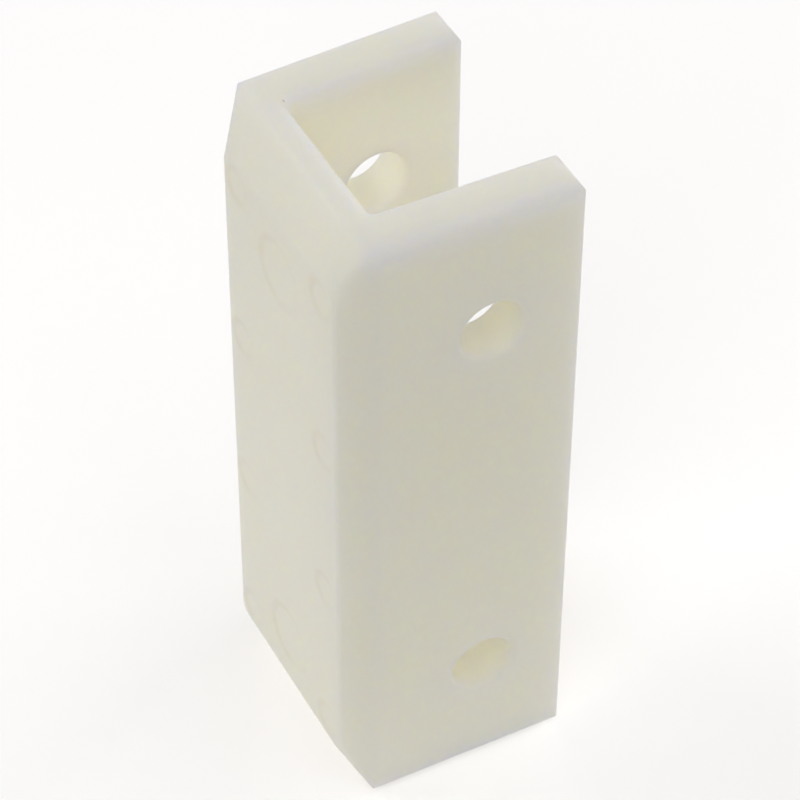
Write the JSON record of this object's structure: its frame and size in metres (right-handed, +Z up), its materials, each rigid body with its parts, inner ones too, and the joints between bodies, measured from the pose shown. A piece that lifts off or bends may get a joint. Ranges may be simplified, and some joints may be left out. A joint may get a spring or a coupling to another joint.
{
  "type": "elevator guide shoe insert",
  "caption": "One-piece moulded ivory plastic channel that slides on an elevator guide rail blade, with a raised back pad and cross holes through both legs.",
  "frame": {"origin": "centre of the bottom of the outer box", "axes": "+X from the back face to the open mouth of the channel, +Y across the channel, +Z up along the rail"},
  "size_m": [0.0238, 0.0278, 0.075],
  "materials": {
    "ivory_plastic": "satin"
  },
  "bodies": {
    "root": {"guide_shoe": "ivory_plastic"}
  },
  "joints": []
}
